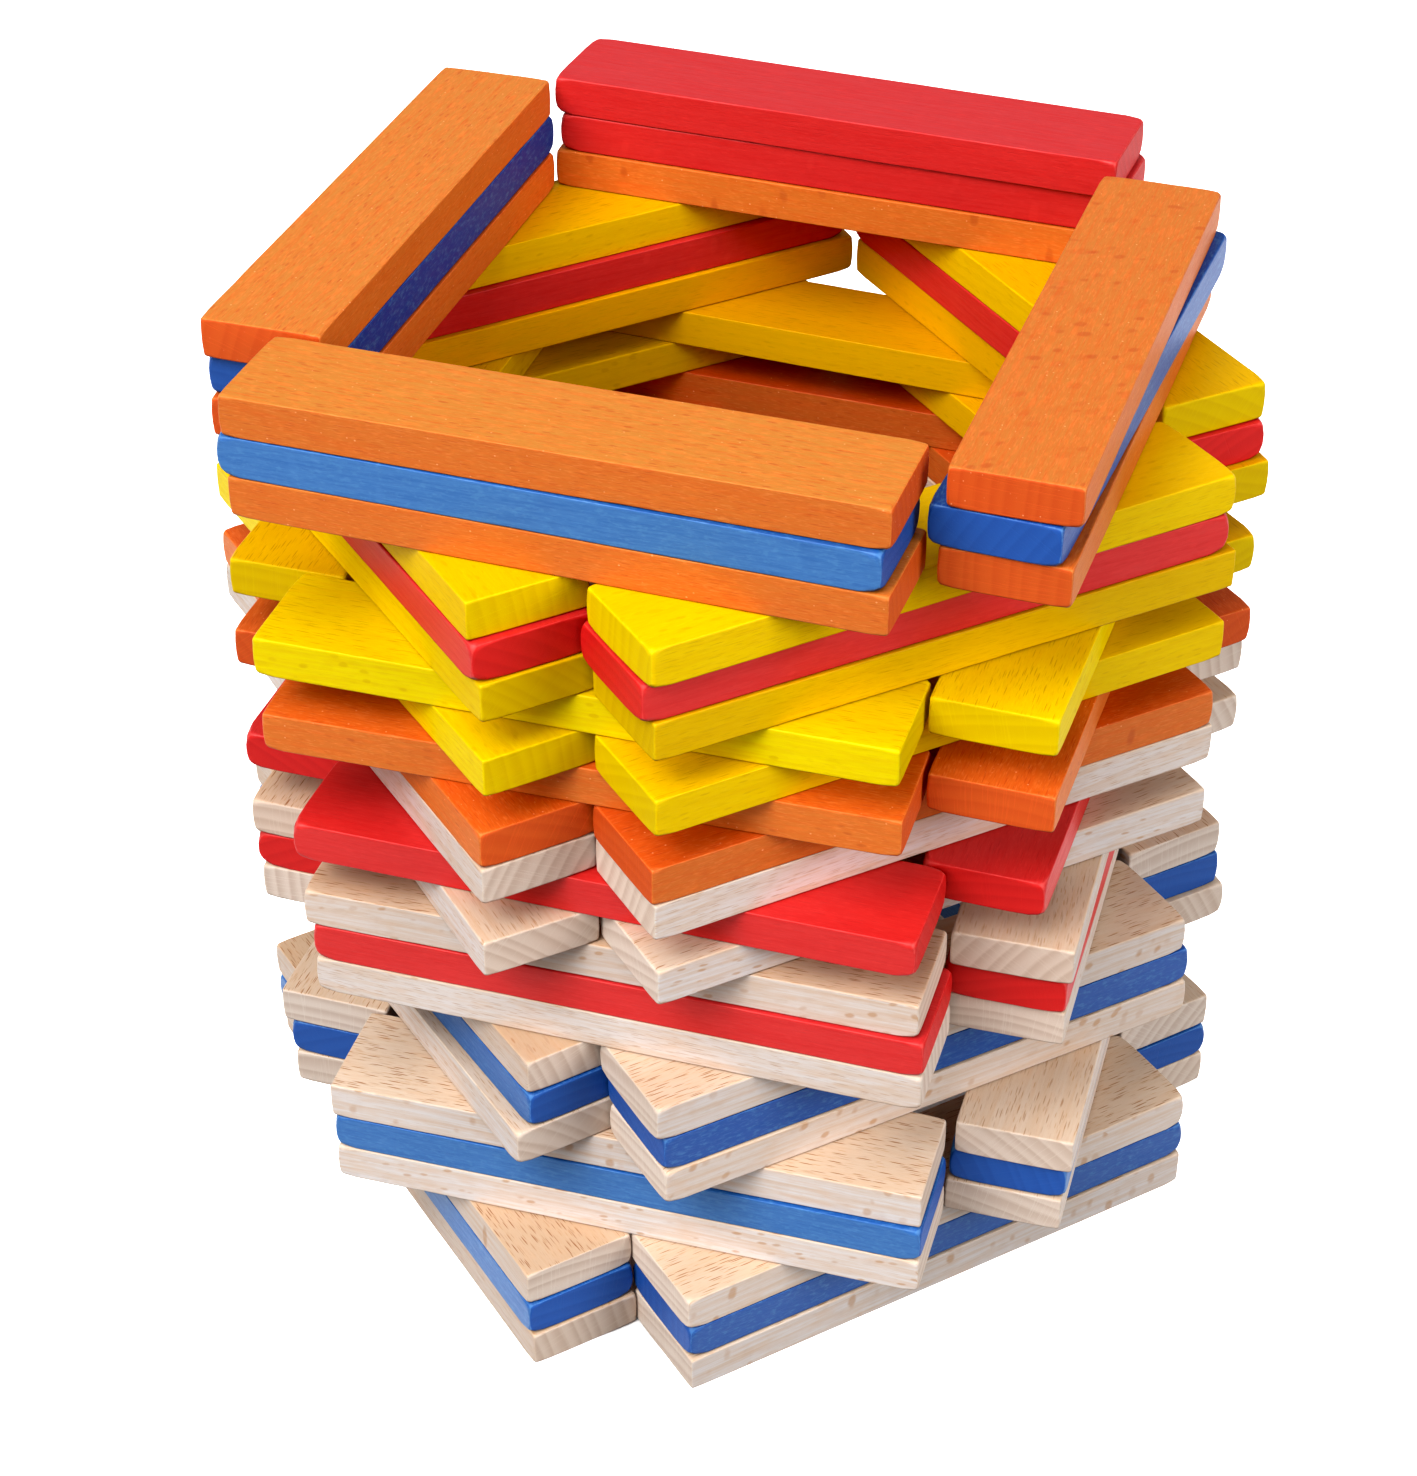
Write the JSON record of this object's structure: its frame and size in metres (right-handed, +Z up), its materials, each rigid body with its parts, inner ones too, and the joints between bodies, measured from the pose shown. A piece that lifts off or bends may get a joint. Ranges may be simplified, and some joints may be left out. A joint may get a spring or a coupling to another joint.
{
  "type": "wooden stacking tower",
  "caption": "Tower of flat wooden planks stacked loosely in square rings, every second ring turned by half a right angle around an open central well.",
  "frame": {"origin": "middle of the footprint box, on the surface the tower stands on", "axes": "+Z up; +X runs to the right and +Y to the back along the planks of the square rings, seen from the front of the tower"},
  "size_m": [0.209, 0.2088, 0.2],
  "materials": {
    "natural_beech": "plain sanded beech, matt",
    "blue_stained_beech": "blue stain, satin",
    "red_stained_beech": "red stain, satin",
    "orange_stained_beech": "orange stain, satin",
    "yellow_stained_beech": "yellow stain, satin"
  },
  "bodies": {
    "base_ring": {"level_01_planks": "natural_beech", "level_02_planks": "blue_stained_beech", "level_03_planks": "natural_beech"},
    "second_ring": {"level_04_planks": "natural_beech", "level_05_planks": "blue_stained_beech", "level_06_planks": "natural_beech"},
    "level_07": {"level_07_planks": "natural_beech"},
    "level_08": {"level_08_planks": "blue_stained_beech"},
    "level_09": {"level_09_planks": "natural_beech"},
    "level_10": {"level_10_planks": "natural_beech"},
    "level_11": {"level_11_planks": "red_stained_beech"},
    "level_12": {"level_12_planks": "natural_beech"},
    "level_13": {"level_13_planks": "natural_beech"},
    "level_14": {"level_14_front_plank": "red_stained_beech", "level_14_right_plank": "red_stained_beech", "level_14_back_plank": "red_stained_beech", "level_14_left_plank": "red_stained_beech"},
    "level_15": {"level_15_planks": "natural_beech"},
    "level_16": {"level_16_front_right_plank": "orange_stained_beech", "level_16_back_right_plank": "orange_stained_beech", "level_16_back_left_plank": "orange_stained_beech", "level_16_front_left_plank": "orange_stained_beech"},
    "level_17": {"level_17_front_plank": "orange_stained_beech", "level_17_right_plank": "orange_stained_beech", "level_17_back_plank": "orange_stained_beech", "level_17_left_plank": "orange_stained_beech"},
    "level_18": {"level_18_front_right_plank": "yellow_stained_beech", "level_18_back_right_plank": "yellow_stained_beech", "level_18_back_left_plank": "yellow_stained_beech", "level_18_front_left_plank": "yellow_stained_beech"},
    "level_19": {"level_19_front_plank": "yellow_stained_beech", "level_19_right_plank": "yellow_stained_beech", "level_19_back_plank": "yellow_stained_beech", "level_19_left_plank": "yellow_stained_beech"},
    "level_20": {"level_20_front_right_plank": "yellow_stained_beech", "level_20_back_right_plank": "yellow_stained_beech", "level_20_back_left_plank": "yellow_stained_beech", "level_20_front_left_plank": "yellow_stained_beech"},
    "level_21": {"level_21_front_right_plank": "red_stained_beech", "level_21_back_right_plank": "red_stained_beech", "level_21_back_left_plank": "red_stained_beech", "level_21_front_left_plank": "red_stained_beech"},
    "level_22": {"level_22_front_right_plank": "yellow_stained_beech", "level_22_back_right_plank": "yellow_stained_beech", "level_22_back_left_plank": "yellow_stained_beech", "level_22_front_left_plank": "yellow_stained_beech"},
    "level_23_front": {"level_23_front_plank": "orange_stained_beech"},
    "level_24_front": {"level_24_front_plank": "blue_stained_beech"},
    "level_25_front": {"level_25_front_plank": "orange_stained_beech"},
    "level_23_right": {"level_23_right_plank": "orange_stained_beech"},
    "level_24_right": {"level_24_right_plank": "blue_stained_beech"},
    "level_25_right": {"level_25_right_plank": "orange_stained_beech"},
    "level_23_back": {"level_23_back_plank": "orange_stained_beech"},
    "level_24_back": {"level_24_back_plank": "red_stained_beech"},
    "level_25_back": {"level_25_back_plank": "red_stained_beech"},
    "level_23_left": {"level_23_left_plank": "orange_stained_beech"},
    "level_24_left": {"level_24_left_plank": "blue_stained_beech"},
    "level_25_left": {"level_25_left_plank": "orange_stained_beech"}
  },
  "joints": [
    {"name": "second_ring_lift", "type": "slide", "parent": "base_ring", "child": "second_ring", "axis": [0, 0, 1], "range_m": [0, 0.03]},
    {"name": "level_07_lift", "type": "slide", "parent": "second_ring", "child": "level_07", "axis": [0, 0, 1], "range_m": [0, 0.03]},
    {"name": "level_08_lift", "type": "slide", "parent": "level_07", "child": "level_08", "axis": [0, 0, 1], "range_m": [0, 0.03]},
    {"name": "level_09_lift", "type": "slide", "parent": "level_08", "child": "level_09", "axis": [0, 0, 1], "range_m": [0, 0.03]},
    {"name": "level_10_lift", "type": "slide", "parent": "level_09", "child": "level_10", "axis": [0, 0, 1], "range_m": [0, 0.03]},
    {"name": "level_11_lift", "type": "slide", "parent": "level_10", "child": "level_11", "axis": [0, 0, 1], "range_m": [0, 0.03]},
    {"name": "level_12_lift", "type": "slide", "parent": "level_11", "child": "level_12", "axis": [0, 0, 1], "range_m": [0, 0.03]},
    {"name": "level_13_lift", "type": "slide", "parent": "level_12", "child": "level_13", "axis": [0, 0, 1], "range_m": [0, 0.03]},
    {"name": "level_14_lift", "type": "slide", "parent": "level_13", "child": "level_14", "axis": [0, 0, 1], "range_m": [0, 0.03]},
    {"name": "level_15_lift", "type": "slide", "parent": "level_14", "child": "level_15", "axis": [0, 0, 1], "range_m": [0, 0.03]},
    {"name": "level_16_lift", "type": "slide", "parent": "level_15", "child": "level_16", "axis": [0, 0, 1], "range_m": [0, 0.03]},
    {"name": "level_17_lift", "type": "slide", "parent": "level_16", "child": "level_17", "axis": [0, 0, 1], "range_m": [0, 0.03]},
    {"name": "level_18_lift", "type": "slide", "parent": "level_17", "child": "level_18", "axis": [0, 0, 1], "range_m": [0, 0.03]},
    {"name": "level_19_lift", "type": "slide", "parent": "level_18", "child": "level_19", "axis": [0, 0, 1], "range_m": [0, 0.03]},
    {"name": "level_20_lift", "type": "slide", "parent": "level_19", "child": "level_20", "axis": [0, 0, 1], "range_m": [0, 0.03]},
    {"name": "level_21_lift", "type": "slide", "parent": "level_20", "child": "level_21", "axis": [0, 0, 1], "range_m": [0, 0.03]},
    {"name": "level_22_lift", "type": "slide", "parent": "level_21", "child": "level_22", "axis": [0, 0, 1], "range_m": [0, 0.03]},
    {"name": "level_23_front_lift", "type": "slide", "parent": "level_22", "child": "level_23_front", "axis": [0, 0, 1], "range_m": [0, 0.05]},
    {"name": "level_24_front_lift", "type": "slide", "parent": "level_23_front", "child": "level_24_front", "axis": [0, 0, 1], "range_m": [0, 0.05]},
    {"name": "level_25_front_lift", "type": "slide", "parent": "level_24_front", "child": "level_25_front", "axis": [0, 0, 1], "range_m": [0, 0.05]},
    {"name": "level_23_right_lift", "type": "slide", "parent": "level_22", "child": "level_23_right", "axis": [0, 0, 1], "range_m": [0, 0.05]},
    {"name": "level_24_right_lift", "type": "slide", "parent": "level_23_right", "child": "level_24_right", "axis": [0, 0, 1], "range_m": [0, 0.05]},
    {"name": "level_25_right_lift", "type": "slide", "parent": "level_24_right", "child": "level_25_right", "axis": [0, 0, 1], "range_m": [0, 0.05]},
    {"name": "level_23_back_lift", "type": "slide", "parent": "level_22", "child": "level_23_back", "axis": [0, 0, 1], "range_m": [0, 0.05]},
    {"name": "level_24_back_lift", "type": "slide", "parent": "level_23_back", "child": "level_24_back", "axis": [0, 0, 1], "range_m": [0, 0.05]},
    {"name": "level_25_back_lift", "type": "slide", "parent": "level_24_back", "child": "level_25_back", "axis": [0, 0, 1], "range_m": [0, 0.05]},
    {"name": "level_23_left_lift", "type": "slide", "parent": "level_22", "child": "level_23_left", "axis": [0, 0, 1], "range_m": [0, 0.05]},
    {"name": "level_24_left_lift", "type": "slide", "parent": "level_23_left", "child": "level_24_left", "axis": [0, 0, 1], "range_m": [0, 0.05]},
    {"name": "level_25_left_lift", "type": "slide", "parent": "level_24_left", "child": "level_25_left", "axis": [0, 0, 1], "range_m": [0, 0.05]}
  ]
}
